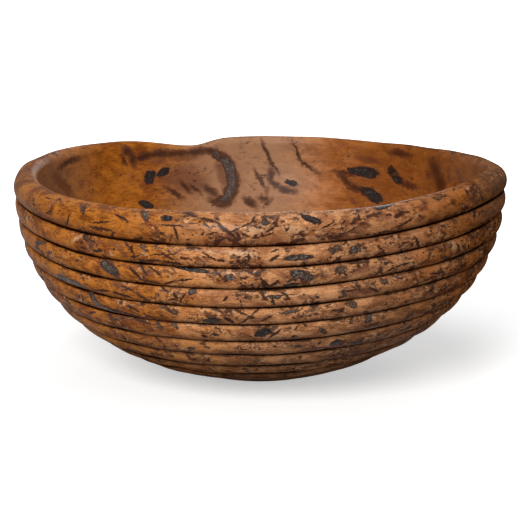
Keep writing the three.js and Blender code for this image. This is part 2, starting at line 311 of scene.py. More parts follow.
def unevenness(azimuth, way, turns, reach, seed):
    """A smooth random field of about -1 to 1: a sum of waves cos(n azimuth + 2 pi way / length + phase), with
    n a whole number of up to turns and lengths about the reach."""
    rng = np.random.default_rng(seed)
    waves = 14
    total = 0
    for _ in range(waves):
        turn, phase = rng.integers(1, turns + 1), rng.uniform(0, 2 * math.pi)
        total = total + np.cos(turn * azimuth + 2 * math.pi * rng.normal() * way / reach + phase)
    return total / math.sqrt(waves)


def warp(section, azimuth, radius, height):
    """How far drying and wear lifted a point. With k the share of the outer radius, drying gave
    tip k cos(azimuth) + saddle k^2 cos(2 (azimuth - turn)) above the flat foot, and each wave of the rim a
    bell exp(-(away / reach)^2 / 2) that fades down the wall."""
    sizes = section.sizes
    share = radius / (sizes.diameter / 2)
    lift = (sizes.tip_rise * share * np.cos(azimuth)
            + sizes.saddle_rise * share ** 2 * np.cos(2 * (azimuth - sizes.saddle_turn)))
    lift = lift * smoothstep(height, 0, sizes.flat_foot)
    for middle, rise, before, after, depth in RIM_WAVES:
        away = (np.degrees(azimuth) - middle + 180) % 360 - 180
        reach = np.where(away < 0, before, after)
        near_rim = smoothstep(height, sizes.height - depth * MM, sizes.height)
        lift = lift + rise * MM * near_rim * np.exp(-(away / reach) ** 2 / 2)
    return lift


def skin(section, azimuth, way, lift=0.0):
    """Points of the bowl's surface: the section at a way, turned to an azimuth and raised by the lift along
    its normal, with the unevenness of hand work, and warped by drying."""
    sizes = section.sizes
    radius, height, out_r, out_z = section.at(way)
    free = smoothstep(height, *EVEN_HEIGHTS) * smoothstep(radius, *EVEN_RADII)
    raised = lift + sizes.waver * free * unevenness(azimuth, way, *WAVER)
    strayed = sizes.wander * free * unevenness(azimuth, way, *WANDER)
    radius = radius + out_r * raised + out_z * strayed
    height = height + out_z * raised - out_r * strayed
    height = height + warp(section, azimuth, radius, height)
    return np.stack([radius * np.cos(azimuth), radius * np.sin(azimuth), height], axis=-1)


def new_object(name, data):
    made = bpy.data.objects.new(name, data)
    bpy.context.scene.collection.objects.link(made)
    return made


def new_piece(name, points, faces, nodes):
    """A finished piece from points and lists of faces, which stands for the given nodes of the frame."""
    mesh = bpy.data.meshes.new(name)
    mesh.from_pydata(points.reshape(-1, 3).tolist(), [], [face for block in faces for face in block.tolist()])
    mesh.shade_smooth()
    mesh.validate()
    piece = new_object(name, mesh)
    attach(piece, "root")
    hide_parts(*nodes)
    return piece


def add_attribute(piece, name, values):
    attribute = piece.data.attributes.new(name, "FLOAT", "POINT")
    attribute.data.foreach_set("value", np.ascontiguousarray(values, np.float32).ravel())


def round_faces(rows, columns):
    """Faces of a grid that closes round on itself and at a pole at each end. Its points are the first pole,
    the rows in order, and the last pole."""
    column = np.arange(columns)
    after = (column + 1) % columns
    row = 1 + columns * np.arange(rows - 1)[:, None]
    quads = np.stack([row + column, row + columns + column, row + columns + after, row + after], axis=-1)
    last = 1 + columns * (rows - 1)
    first_fan = np.stack([np.zeros(columns, int), 1 + column, 1 + after], axis=-1)
    last_fan = np.stack([last + column, np.full(columns, last + columns), last + after], axis=-1)
    return [quads.reshape(-1, 4), first_fan, last_fan]


class Bark(NamedTuple):
    """A bark inclusion. Its place goes from 1 at the top of its band to -1 at the bottom, and in the hollow
    it is the depth below the rim. The azimuth, the slope and the bend that curls the ends are in degrees,
    and sizes in millimetres."""

    azimuth: float
    band: int
    place: float
    length: float
    width: float
    slope: float = 0
    taper: float = 0
    bend: float = 0
    dark: bool = False


# Inclusions by band: 0 is the rim roll, 1 the bead below it and so on
HOLLOW = -1
BARK = {
    "rim_slash": Bark(-115.1, 0, 0.4, 10, 3.6, -50),
    "rim_oval": Bark(-110, 0, 0.33, 8, 4.4, -8, dark=True),
    "rim_dot": Bark(-89, 0, 0.23, 5, 4.4),
    "rim_streak": Bark(-79.2, 0, 0.33, 14, 5.2, -24, taper=-0.5, dark=True),
    "rim_crest": Bark(-62.1, 0, 0.83, 17, 5, 8, taper=-0.2, dark=True),
    "bead1_bar": Bark(-81.9, 1, -0.07, 20, 4.4, -3, taper=-0.25),
    "bead1_spot": Bark(-70, 1, 0.15, 7.5, 5.5, 20),
    "bead2_left": Bark(-124, 2, 0.28, 16, 9, -28),
    "bead2_streak": Bark(-104.6, 2, 0.7, 26, 3.2, -7, dark=True),
    "bead2_oval": Bark(-96.4, 2, 0.25, 7.5, 3.6),
    "bead2_mottle": Bark(-81.5, 2, 0.23, 15, 7, -14),
    "bead2_lobe": Bark(-83.5, 2, -0.55, 11, 4, 10, dark=True),
    "bead3_left": Bark(-138.4, 3, -0.12, 34, 5.2, -4),
    "bead3_spot": Bark(-104.8, 3, 0.58, 5.6, 4, 30),
    "bead3_lens": Bark(-87, 3, 0.3, 10, 2.6),
    "bead4_hook": Bark(-130.4, 4, -0.05, 30, 5.4, -38, taper=-0.4, bend=75),
    "bead4_bar": Bark(-100.9, 4, -0.2, 13, 5, 12, dark=True),
    "bead5_patch": Bark(-89.5, 5, 0.33, 11, 7, 35, dark=True),
    "bead5_spot": Bark(-63.5, 5, 0.55, 7.5, 5, 80),
    "bead6_patch": Bark(-70, 6, 0.23, 8, 6, 10, dark=True),
    "hollow_crescent": Bark(98.4, HOLLOW, 27, 68, 9, 90, taper=0.35, bend=165),
    "hollow_left_lower": Bark(124.1, HOLLOW, 24, 14, 9, 35, dark=True),
    "hollow_left_upper": Bark(119.6, HOLLOW, 21, 14, 7, 28, dark=True),
    "hollow_left_low": Bark(127.5, HOLLOW, 46, 16, 6.5, -20, dark=True),
    "hollow_centre": Bark(80.5, HOLLOW, 29.2, 12, 5, -12, dark=True),
    "hollow_right_bar": Bark(58.5, HOLLOW, 17.6, 30, 9.5, -4, taper=0.3, dark=True),
    "hollow_right_hook": Bark(47.5, HOLLOW, 18.4, 20, 8, -35, bend=40, dark=True),
    "hollow_right_low": Bark(54.8, HOLLOW, 35.9, 28, 9, -18, taper=0.3, dark=True),
}

# Waves that make an inclusion's outline ragged. Each adds a random share in this range over wave^0.8.
RAGGED_WAVES, RAGGED_SHARE = range(2, 12), (0.02, 0.26)

# Spokes and rings of an inclusion's grid, how proud of the wood it is, and how deep its skirt goes, in metres
BARK_SPOKES = 72
BARK_SHARES = np.array([0.12, 0.28, 0.44, 0.58, 0.7, 0.8, 0.88, 0.94, 0.98, 1.0])
BARK_PROUD = 0.12 * MM
BARK_SKIRT = 1.6 * MM


def way_of(section, bark):
    """The way of an inclusion's middle, and 1 outside or -1 in the hollow, where right and up turn round."""
    if bark.band == HOLLOW:
        return section.hollow_way - bark.place * MM, -1
    upper, lower = [0, *section.groove_ways][bark.band:bark.band + 2]
    return upper + (lower - upper) * (1 - bark.place) / 2, 1


def bark_outline(bark, seed):
    """The outline of an inclusion: the oval (length cos t, width sin t (1 + taper cos t)) / 2, made ragged
    by a few random waves."""
    rng = np.random.default_rng(seed)
    turn = np.linspace(0, 2 * math.pi, BARK_SPOKES, endpoint=False)
    ragged = 1 + sum(
        rng.uniform(*RAGGED_SHARE) / wave ** 0.8 * np.cos(wave * turn + rng.uniform(0, 2 * math.pi))
        for wave in RAGGED_WAVES)
    along = bark.length / 2 * np.cos(turn) * ragged
    aside = bark.width / 2 * np.sin(turn) * (1 + bark.taper * np.cos(turn)) * ragged
    return along * MM, aside * MM


def laid_out(section, bark, along, aside):
    """Azimuths and ways of the points of a flat oval: bent along an arc of length / bend, turned by the
    slope, and laid on the wall at the inclusion's place."""
    if bark.bend:
        radius = bark.length * MM / math.radians(bark.bend)
        curl = along / radius
        along, aside = (radius - aside) * np.sin(curl), radius - (radius - aside) * np.cos(curl)
    middle, facing = way_of(section, bark)
    slope = math.radians(bark.slope)
    way = middle - facing * (along * math.sin(slope) + aside * math.cos(slope))
    right = along * math.cos(slope) - aside * math.sin(slope)
    return math.radians(bark.azimuth) + facing * right / section.at(way)[0], way


def bark_piece(section, name, bark, seed):
    """An inclusion: a cap that follows the wood's surface, a little proud of it, with a skirt that goes into
    it. The lift is proud (1 - share^10) - proud share^30 / 2, where share is 1 at the outline."""
    shares = np.append(BARK_SHARES, 1.0)[:, None]
    lift = BARK_PROUD * (1 - shares ** 10) - BARK_PROUD / 2 * shares ** 30
    lift[-1] = -BARK_SKIRT
    along, aside = bark_outline(bark, seed)
    azimuth, way = laid_out(section, bark, shares * along, shares * aside)
    middle = np.radians([bark.azimuth]), np.array([way_of(section, bark)[0]])
    cap = [skin(section, *middle, BARK_PROUD), skin(section, azimuth, way, lift)]
    sunk = [skin(section, azimuth[::-1], way[::-1], -BARK_SKIRT)[1:], skin(section, *middle, -BARK_SKIRT)]
    points = np.concatenate([part.reshape(-1, 3) for part in cap + sunk])
    faces = round_faces(2 * len(shares) - 1, BARK_SPOKES)
    piece = new_piece(name + "_face", points, faces, ["bark_" + name])
    edge = np.ones(len(points))
    edge[0] = 0
    edge[1:1 + shares.size * BARK_SPOKES] = np.repeat(shares, BARK_SPOKES)
    add_attribute(piece, "edge", edge)
    add_attribute(piece, "soft", np.full(len(edge), bark.band == HOLLOW))
    return piece


# Bold marks of the figure: half a width in tenths of a millimetre, then the points of the mark's path, each
# an azimuth in degrees and a place. Outside, the place of the crest is 0 and those of the grooves are 10, 20,
# 30 and so on, and in the hollow it is the depth below the rim in millimetres.
INK_OUTSIDE = [
    (13, -151, 6, -149, 6), (11, -147, 3, -144, 3), (14, -144, 7, -141, 5), (14, -136, 8, -135, 5),
    (16, -132, 1, -131, 5), (12, -128, 6, -123, 5), (17, -129, 7, -122, 7, -123, 9), (14, -123, 3, -118, 5),
    (18, -118, 9, -115, 8), (14, -114, 8, -110, 9), (10, -112, 5, -105, 5), (15, -108, 5, -107, 8),
    (20, -107, 1, -103, 3, -99, 4, -97, 6), (19, -98, 5, -95, 7), (12, -96, 6, -94, 5, -92, 4, -91, 2),
    (17, -95, 6, -94, 7), (10, -94, 6, -92, 7, -90, 7, -87, 6), (16, -97, 7, -95, 8),
    (12, -89, 6, -87, 5, -86, 2), (11, -85, 6, -84, 5), (22, -87, 9, -84, 9, -82, 8, -81, 8),
    (9, -78, 6, -74, 4), (10, -74, 8, -73, 7), (12, -73, 5, -72, 4), (10, -72, 7, -70, 6),
    (10, -71, 0, -64, 0), (10, -59, 0, -53, 1), (23, -61, 5, -58, 4), (12, -62, 8, -56, 6),
    (14, -130, 12, -127, 13), (13, -132, 16, -130, 16), (16, -126, 17, -123, 19), (13, -120, 11, -117, 16),
    (14, -118, 12, -118, 14), (10, -114, 15, -107, 14), (15, -116, 18, -111, 17, -106, 18),
    (10, -107, 15, -104, 16), (12, -106, 11, -102, 12), (12, -102, 13, -99, 16, -97, 16),
    (10, -95, 15, -94, 14), (18, -88, 16, -86, 14), (9, -88, 13, -86, 12), (14, -75, 19, -73, 16),
    (12, -68, 19, -66, 20, -63, 16), (10, -56, 13, -54, 17, -54, 19), (19, -119, 22, -116, 27),
    (11, -116, 27, -111, 28, -108, 26, -104, 25), (11, -115, 21, -111, 25), (17, -100, 21, -98, 24),
    (14, -97, 20, -94, 21, -91, 23), (19, -88, 28, -86, 25), (14, -72, 21, -66, 22), (11, -65, 28, -63, 26),
    (13, -62, 27, -60, 26), (12, -60, 26, -56, 25), (10, -42, 22, -40, 27), (19, -149, 39, -140, 36),
    (15, -130, 36, -125, 35, -119, 37), (12, -122, 32, -118, 34, -115, 39), (14, -112, 31, -110, 33),
    (10, -108, 37, -106, 32), (18, -109, 34, -108, 35), (14, -98, 35, -97, 33),
    (16, -95, 31, -90, 31, -85, 31), (9, -89, 33, -82, 33), (15, -66, 34, -63, 37), (22, -56, 31, -54, 31),
    (21, -130, 47, -124, 46, -118, 48), (13, -122, 42, -118, 45, -115, 47), (17, -112, 41, -110, 44),
    (12, -100, 40, -98, 43), (24, -98, 44, -96, 47), (14, -96, 40, -93, 43),
    (12, -95, 48, -92, 43, -90, 40), (12, -90, 46, -87, 43), (20, -79, 41, -77, 41), (14, -74, 44, -72, 44),
    (20, -61, 40, -59, 41), (15, -137, 53, -134, 52), (18, -122, 51, -117, 52), (23, -104, 55, -103, 56),
    (13, -90, 52, -87, 50), (15, -88, 56, -85, 52), (10, -82, 53, -81, 51), (15, -80, 51, -79, 52),
    (14, -74, 51, -70, 51), (16, -118, 61, -116, 63), (17, -84, 60, -77, 61), (22, -71, 64, -68, 64),
    (12, -63, 66, -62, 63),
]
SLATE_OUTSIDE = [
    (18, -134, 1, -131, 5), (24, -49, 2, -47, 3), (27, -37, 4, -34, 5), (24, -116, 11, -114, 14),
    (41, -76, 14, -73, 13), (22, -96, 18, -94, 19), (23, -152, 24, -146, 21), (20, -146, 25, -143, 24),
    (26, -91, 23, -90, 22), (52, -74, 24, -72, 23), (26, -47, 26, -43, 28), (27, -72, 34, -71, 37),
    (34, -63, 32, -61, 34), (27, -46, 33, -44, 36), (27, -40, 31, -37, 31), (31, -28, 36, -21, 41),
    (23, -113, 41, -111, 42), (29, -110, 42, -109, 44), (24, -86, 43, -81, 42), (34, -70, 41, -68, 44),
    (31, -48, 41, -45, 41), (27, -115, 50, -114, 54), (27, -111, 50, -110, 53), (27, -88, 53, -86, 51),
    (30, -76, 53, -74, 56), (37, -64, 51, -63, 53),
]
PLUM_OUTSIDE = [
    (32, -97, 5, -96, 8), (35, -82, 8, -80, 10), (50, -66, 3, -61, 5), (34, -130, 12, -127, 14),
    (37, -122, 12, -119, 17), (36, -86, 10, -83, 12), (44, -65, 17, -62, 19), (48, -116, 23, -113, 24),
    (34, -91, 24, -90, 21), (32, -86, 22, -84, 25), (46, -78, 24, -75, 25), (44, -72, 25, -64, 24),
    (34, -119, 34, -115, 37), (37, -82, 35, -79, 34), (44, -71, 35, -64, 35), (37, -92, 46, -87, 43),
    (40, -84, 63, -77, 63),
]
# Pale tan flecks of the figure; the first two, wide on the front of the rim, are a painted sheen
PALE_OUTSIDE = [
    (60, -93, 6, -89, 5), (60, -86, 5, -81, 6), (24, -135, 15, -131, 11), (12, -102, 12, -98, 14),
    (41, -97, 13, -90, 14), (12, -55, 14, -53, 19), (12, -48, 11, -46, 13), (55, -44, 21, -42, 25),
    (13, -41, 22, -39, 27), (12, -37, 22, -36, 26), (13, -57, 25, -55, 24), (13, -89, 34, -79, 33),
    (16, -53, 45, -50, 44), (14, -62, 51, -62, 55),
]
INK_HOLLOW = [
    (42, 132, 0, 130, 4, 129, 11), (32, 127, 8, 123, 6, 118, 4, 112, 2, 106, 1), (18, 133, 5, 132, 11),
    (30, 106, 1, 102, 6, 99, 13), (24, 99, 17, 97, 27, 97, 36, 99, 45), (32, 99, 45, 102, 50, 105, 46),
    (24, 119, 35, 115, 41), (26, 114, 29, 112, 37), (22, 111, 32, 109, 38), (34, 107, 34, 104, 40),
    (18, 101, 38, 100, 43), (32, 94, 45, 92, 49), (26, 87, 20, 87, 28, 84, 34, 80, 36),
    (27, 90, 43, 88, 45), (18, 67, 19, 62, 21), (26, 66, 21, 62, 30, 59, 33), (26, 47, 20, 44, 24, 40, 25),
    (29, 49, 0, 44, 0), (60, 33, 6, 30, 14, 28, 22), (24, 152, 2, 160, 4), (15, 89, 0, 87, 12, 85, 20),
    (13, 80, 0, 78, 11, 74, 18), (16, 91, 22, 89, 32),
]
PLUM_HOLLOW = [
    (48, 124, 12, 118, 10, 108, 9), (190, 118, 24, 106, 32), (90, 102, 12, 100, 36), (96, 167, 4, 155, 29),
    (36, 88, 32, 88, 40), (34, 76, 14, 71, 23), (60, 36, 12, 32, 15), (44, 26, 10, 24, 17),
    (38, 62, 41, 59, 44), (38, 88, 50, 86, 42), (50, 62, 6, 52, 9), (70, 22, 6, 14, 20),
]

# How far a mark reaches into the wood on each side of the surface, in millimetres, and the half length of a
# mark's lens as a share of the stretch that it covers
MARK_DEPTH = 7
LENS_REACH = 0.68

# The stained wood beside an inclusion: the stretch that its lenses cover and half their width, as shares of
# the inclusion's length and width, and the number of lenses along one that is bent
STAIN_LENGTH, STAIN_WIDTH, BENT_PARTS = 0.84, 0.76, 5


def outward(section, azimuth, way):
    """The normal of the section at a way, turned to an azimuth in degrees."""
    out_r, out_z = section.at(way)[2:]
    turn = math.radians(azimuth)
    return Vector((out_r * math.cos(turn), out_r * math.sin(turn), out_z))


def mark_point(section, azimuth, place, in_hollow):
    """A point of a mark's path on the surface, and the surface's normal there."""
    if in_hollow:
        way = section.hollow_way - place * MM
    else:
        way = np.interp(place / 10, np.arange(len(section.groove_ways) + 1), [0, *section.groove_ways])
    point = skin(section, np.radians([azimuth]), np.array([way]))[0]
    return Vector(point), outward(section, azimuth, way)


def lens_along(start, end, out, half_width):
    """A lens that reaches a little past start and end: its middle in millimetres, the turn that lays its
    length along them and its depth along the surface's normal, and its half length, width and depth."""
    along = (end - start).normalized()
    aside = out.cross(along).normalized()
    turn = Matrix((along, aside, along.cross(aside))).transposed().to_euler()
    half_length = (end - start).length / MM * LENS_REACH + half_width / 2
    return (start + end) / MM / 2, turn, (half_length, half_width, MARK_DEPTH)


def mark_lenses(section, marks, in_hollow=False, spread=1.0):
    """The lenses of the marks, one to each stretch of a path, longer and wider by the spread."""
    for width, *path in marks:
        points = [mark_point(section, *point, in_hollow) for point in zip(path[::2], path[1::2])]
        for (start, out), (end, _) in zip(points, points[1:]):
            more = (end - start) * (spread - 1) / 2
            yield lens_along(start - more, end + more, out, width / 10 * spread)


def bark_lenses(section):
    """The lenses round the inclusions, for the stained wood beside them."""
    for bark in BARK.values():
        out = outward(section, bark.azimuth, way_of(section, bark)[0])
        parts = BENT_PARTS if bark.bend else 1
        for part in range(parts):
            ends = (np.array([part, part + 1]) / parts - 0.5) * bark.length * STAIN_LENGTH * MM
            start, end = skin(section, *laid_out(section, bark, ends, np.zeros(2)))
            yield lens_along(Vector(start), Vector(end), out, bark.width * STAIN_WIDTH)


class Field:
    """A number, vector or colour that varies over a surface: one socket of a material's nodes."""

    def __init__(self, recipe, socket):
        self.recipe, self.socket = recipe, socket

    def output(self, name):
        """Another output of the node that this one comes from."""
        return Field(self.recipe, self.socket.node.outputs[name])

    def maths(self, operation, first, second):
        """An operation on two parts: on vectors if a field among them is one, and else on numbers."""
        pair = (first, second)
        vector = any(isinstance(part, Field) and part.socket.type != "VALUE" for part in pair)
        parts = [(part,) * 3 if vector and isinstance(part, (int, float)) else part for part in pair]
        kind = "VectorMath" if vector else "Math"
        return self.recipe.node(kind, {"operation": operation}, dict(enumerate(parts)))

    def __add__(self, other):
        return self.maths("ADD", self, other)

    def __sub__(self, other):
        return self.maths("SUBTRACT", self, other)

    def __rsub__(self, other):
        return self.maths("SUBTRACT", other, self)

    def __mul__(self, other):
        return self.maths("MULTIPLY", self, other)

    # Sums and products are the same either way round
    __radd__, __rmul__ = __add__, __mul__

    def function(self, operation):
        """A function of this one number."""
        return self.recipe.node("Math", {"operation": operation}, {0: self})

    def __abs__(self):
        return self.function("ABSOLUTE")

    def __or__(self, other):
        """Both masks together: the higher of the two."""
        return self.maths("MAXIMUM", self, other)

    def dot(self, other):
        return self.recipe.node("VectorMath", {"operation": "DOT_PRODUCT"}, {0: self, 1: other}, "Value")

    def part(self, axis):
        return self.recipe.node("SeparateXYZ", {}, {0: self}, axis)

    def fade(self, low, high):
        """A mask: 0 below low, 1 above high and smooth between, or the other way round if low is higher."""
        inputs = {"Value": self, "From Min": low, "From Max": high}
        return self.recipe.node("MapRange", {"interpolation_type": "SMOOTHSTEP"}, inputs)


class Recipe:
    """A material or a world, and the one way in which its nodes are made."""

    def __init__(self, owner):
        owner.use_nodes = True
        self.owner, self.tree = owner, owner.node_tree
        self.tree.nodes.clear()

    def node(self, kind, settings, inputs, output=0):
        """One node: its kind, its settings, the values or fields of its sockets, and the output wanted."""
        made = self.tree.nodes.new("ShaderNode" + kind)
        for name, value in settings.items():
            setattr(made, name, value)
        for name, value in inputs.items():
            if isinstance(value, Field):
                self.tree.links.new(value.socket, made.inputs[name])
            else:
                made.inputs[name].default_value = value
        return Field(self, made.outputs[output]) if len(made.outputs) else None

    def place(self):
        """The place on the object, in millimetres."""
        return self.node("TexCoord", {}, {}, "Object") * (1 / MM)

    def attribute(self, name):
        return self.node("Attribute", {"attribute_name": name}, {}, "Fac")

    def noise(self, place, size, detail=2.0, roughness=0.5, output="Fac"):
        """Noise whose lumps are about size millimetres, from 0 to 1."""
        inputs = {"Vector": place, "Scale": 1 / size, "Detail": detail, "Roughness": roughness}
        return self.node("TexNoise", {}, inputs, output)

    def mix(self, amount, below, above, blend="MIX"):
        """One colour over another by an amount: sockets 7, 6 and 0 of a Mix of colours, and 2 the result."""
        colours = (colour if isinstance(colour, Field) else (*colour, 1.0) for colour in (below, above))
        inputs = dict(zip((0, 6, 7), (amount, *colours)))
        return self.node("Mix", {"data_type": "RGBA", "blend_type": blend}, inputs, 2)

    def lenses(self, place, lenses):
        """Lens-shaped marks together: 1 at the middle of each, and 0 outside it, by 1 less the distance
        from its middle in shares of its half sizes."""
        mask = None
        for middle, turn, half_sizes in lenses:
            inputs = {"Vector": place, "Location": middle, "Rotation": turn, "Scale": half_sizes}
            share = self.node("Mapping", {"vector_type": "TEXTURE"}, inputs)
            lens = self.node("TexGradient", {"gradient_type": "SPHERICAL"}, {0: share}, "Fac")
            mask = lens if mask is None else mask | lens
        return mask

    def finish(self, colour, roughness, height, relief, **constants):
        """The shader: a bump of that relief in metres, and constants straight on its sockets."""
        bump = self.node("Bump", {}, {"Strength": 1.0, "Distance": relief, "Height": height})
        inputs = {"Base Color": colour, "Roughness": roughness, "Normal": bump, **constants}
        return self.surface(self.node("BsdfPrincipled", {}, inputs))

    def surface(self, shader, kind="OutputMaterial"):
        """Makes a shader the surface of the material or world."""
        self.node(kind, {}, {"Surface": shader})
        return self.owner


def along_wall(recipe, place):
    """Unit vectors over the surface: round the bowl, and up the wall at right angles to it."""
    level = place.maths("CROSS_PRODUCT", (0, 0, 1), place)
    around = recipe.node("VectorMath", {"operation": "NORMALIZE"}, {0: level})
    out = recipe.node("NewGeometry", {}, {}, "Normal")
    return around, out.maths("CROSS_PRODUCT", out, around)


def strokes(recipe, place, axes, cell, length, width, lean, spread, amount):
    """Short curved strokes, one to a cell of the size given, where a random number is under the amount.

    Each stroke turns by lean plus a random share of the spread. With u = along / length, v = aside / width
    and a random curve, it is where u^2 + (v - curve u^2)^2 is under 1, and its halo goes to where that
    sum is 2.6.
    """
    inputs = {"Vector": place, "Scale": 1 / cell, "Randomness": 1.0}
    spot = recipe.node("TexVoronoi", {"feature": "F1"}, inputs, "Position")
    chance = spot.output("Color")
    around, up = axes
    away = place - spot
    right, above = away.dot(around), away.dot(up)
    turn = lean + (chance.part("X") - 0.5) * spread
    cosine, sine = turn.function("COSINE"), turn.function("SINE")
    along = (right * cosine + above * sine) * (1 / length)
    aside = (above * cosine - right * sine) * (1 / width)
    bowed = aside - (chance.part("Y") - 0.5) * 4.0 * along * along
    inside = 1 - along * along - bowed * bowed
    there = (chance.part("Z") - amount).fade(0.0, -0.03)
    strength = there * (0.55 + 0.45 * chance.part("Y").fade(0.3, 0.6))
    return inside.fade(0.0, 0.5) * strength, inside.fade(-1.6, 0.0) * there


def burl_wood(colours, section):
    """Waxed burl: golden wood on the left, rose tan in the middle, partly a painted sheen, and umber on the
    right, partly painted shade, with soft clouds and fine fibres, and islands of figure: pale flecks, plum
    clouds, dark strokes and curls, and slate patches with a dark border. The bold marks are in their places,
    the hollow is calmer, with soft marks and a painted sheen, the beads' tops carry a painted sheen, and
    their feet and the grooves are painted dark as shade."""
    recipe = Recipe(bpy.data.materials.new("burl_wood"))
    noise, mix, place = recipe.noise, recipe.mix, recipe.place()
    drift = noise(place, 16, output="Color") - 0.5
    ripple = noise(place + 40, 3, 3, 0.6, "Color") - 0.5
    fine = noise(place + 240, 1.3, 2, 0.6, "Color") - 0.5
    flow = place * (1, 1, 2) + drift * 16 + ripple * 2.6
    axes = along_wall(recipe, place)
    across, deep, height = (place.part(axis) for axis in "XYZ")
    hollow, to_groove = recipe.attribute("hollow"), recipe.attribute("groove")
    outside = 1 - hollow

    # Where the figure is dense: islands some centimetres across, more of them towards the right
    end = abs(across - 10).fade(80, 130) * height.fade(124, 131)
    busy = (noise(place * (1, 1, 1.5) + 300, 20) + across * 0.0004 - end * 0.09).fade(0.45, 0.56)
    drawn = deep.fade(-40, -110) * outside
    sparse = 1 - drawn * 0.45 - hollow * 0.55

    # Plain wood: cloudy between a light and a dark colour, which change from side to side. The rose middle is
    # partly a painted sheen, and the darker right partly painted shade.
    left = (across + drift.part("X") * 90 - hollow * 40).fade(20, -100)
    right = (across + drift.part("Y") * 90 + hollow * 40).fade(35, 145)
    light = mix(right * 0.9, mix(left, colours.rose, colours.honey), colours.russet)
    dark = mix(right * 0.9, mix(left, colours.chestnut, colours.amber), colours.umber)
    clouds = noise(flow, 14, 4, 0.6)
    region = noise(place + 90, 60, 1)
    fibres = noise(place * (1, 1, 3) + drift * 9, 1.3, 3, 0.7)
    streaks = noise(place * (1, 1, 5) + drift * 14 + 820, 5, 3, 0.6)
    cloudy = clouds * 0.5 + region * 0.2 + streaks * 0.3
    colour = mix(cloudy.fade(0.42 - hollow * 0.08, 0.57 + hollow * 0.08), dark, light)
    colour = mix(hollow * across.fade(10, 80) * 0.4, colour, colours.russet)
    # Painted sheen: greyish tan over the middle of the hollow's far wall and on its left side
    far = (deep + drift.part("Z") * 60).fade(10, 110)
    middle = abs(across + 15).fade(80, 20) * far * 0.8 + across.fade(-120, -160) * 0.45
    colour = mix(middle * hollow, colour, colours.sheen_tan)
    grained = mix(fibres.fade(0.28, 0.72), (0.45, 0.38, 0.3), (1.55, 1.55, 1.5))
    colour = mix((0.55 + 0.3 * busy) * (1 - hollow * 0.93), colour, grained, "MULTIPLY")

    # Brown blotches, pores, pale flecks beside the figure, and plum clouds
    blotches = noise(flow + 60, 6, 4, 0.68).fade(0.51, 0.65) * (0.2 + 0.5 * busy) * (1 - hollow * 0.7)
    pores = noise(place * (1, 1, 1.6) + 210, 1.5, 2, 0.6).fade(0.6, 0.7)
    pale = noise(place * (1, 1, 1.4) + drift * 12 + 700, 3.6, 3, 0.6).fade(0.55, 0.66)
    pale = pale * (0.08 + 0.8 * busy) * outside
    plum = noise(flow + 150, 8, 4, 0.62).fade(0.48, 0.62) * busy * (1 - hollow * 0.6)
    colour = mix(blotches, colour, colours.umber)
    colour = mix(pores * (0.1 + 0.15 * right + 0.4 * busy) * outside, colour, colours.plum)
    colour = mix(pale * (0.72 - 0.12 * right), colour, colours.tan)
    colour = mix(plum * 0.7, colour, colours.plum)

    # Curls: thin lines where a noise crosses its middle, broken by another noise, dark with a pale side
    contour = noise(flow + 500, 9) - 0.5
    broken = noise(place + 900, 7).fade(0.46, 0.54) * busy * outside
    curls = abs(contour).fade(0.016, 0.005) * broken
    colour = mix(abs(contour - 0.035).fade(0.02, 0.005) * broken * 0.6, colour, colours.tan)

    # Strokes of three sizes, with plum halos, and blots
    rough = place + ripple * 3.6 + fine * 1.2
    unseen = hollow * (1 - deep.fade(10, 60) * height.fade(50, 80))
    amount = busy * sparse * (outside + unseen * 0.6)
    fewer = amount * (1 - right * 0.4)
    amount = 0.75 * amount + outside * 0.03
    strokes_long, halo_long = strokes(recipe, rough, axes, 13, 7, 1.2, -0.25, 1.6, amount)
    strokes_short, halo_short = strokes(recipe, rough + 77, axes, 7, 3, 0.9, 0.2, 2.6, 0.8 * fewer)
    dots, _ = strokes(recipe, rough + 177, axes, 4.2, 1.2, 0.7, 0, 3, 0.6 * fewer)
    blots = noise(place * (1, 1, 2.1) + drift * 14 + ripple * 3 + 1700, 5.5, 4, 0.62)
    blots = (blots + busy * 0.07 - hollow * 0.06 + unseen * 0.07).fade(0.64 - hollow * 0.04,
                                                                       0.68 + hollow * 0.02)

    # Slate patches, with a dark border
    blotch = noise(place * (1, 1, 1.6) + drift * 9 + ripple * 3.5 + 1300, 8.5, 3, 0.6)
    blotch = blotch - drawn * 0.03 - hollow * 0.06 + busy * 0.01

    # The bold marks and the stained wood beside the bark, with ragged edges
    ragged = place + ripple * 2.4 + fine * 1.4
    torn = place + ripple * 5 + fine * 2
    grit = (noise(place + 430, 1.6, 3, 0.65) - 0.5) * (1.1 - hollow * 0.7)
    inked = recipe.lenses(ragged, mark_lenses(section, INK_OUTSIDE))
    slated = recipe.lenses(torn, mark_lenses(section, SLATE_OUTSIDE))
    fringed = recipe.lenses(torn, bark_lenses(section))
    clouded = recipe.lenses(torn, [*mark_lenses(section, PLUM_OUTSIDE),
                                   *mark_lenses(section, PLUM_HOLLOW, True)])
    paled = recipe.lenses(ragged, mark_lenses(section, PALE_OUTSIDE))
    blurred = recipe.lenses(place + ripple * 6 + drift * 5, mark_lenses(section, INK_HOLLOW, True, 1.6))
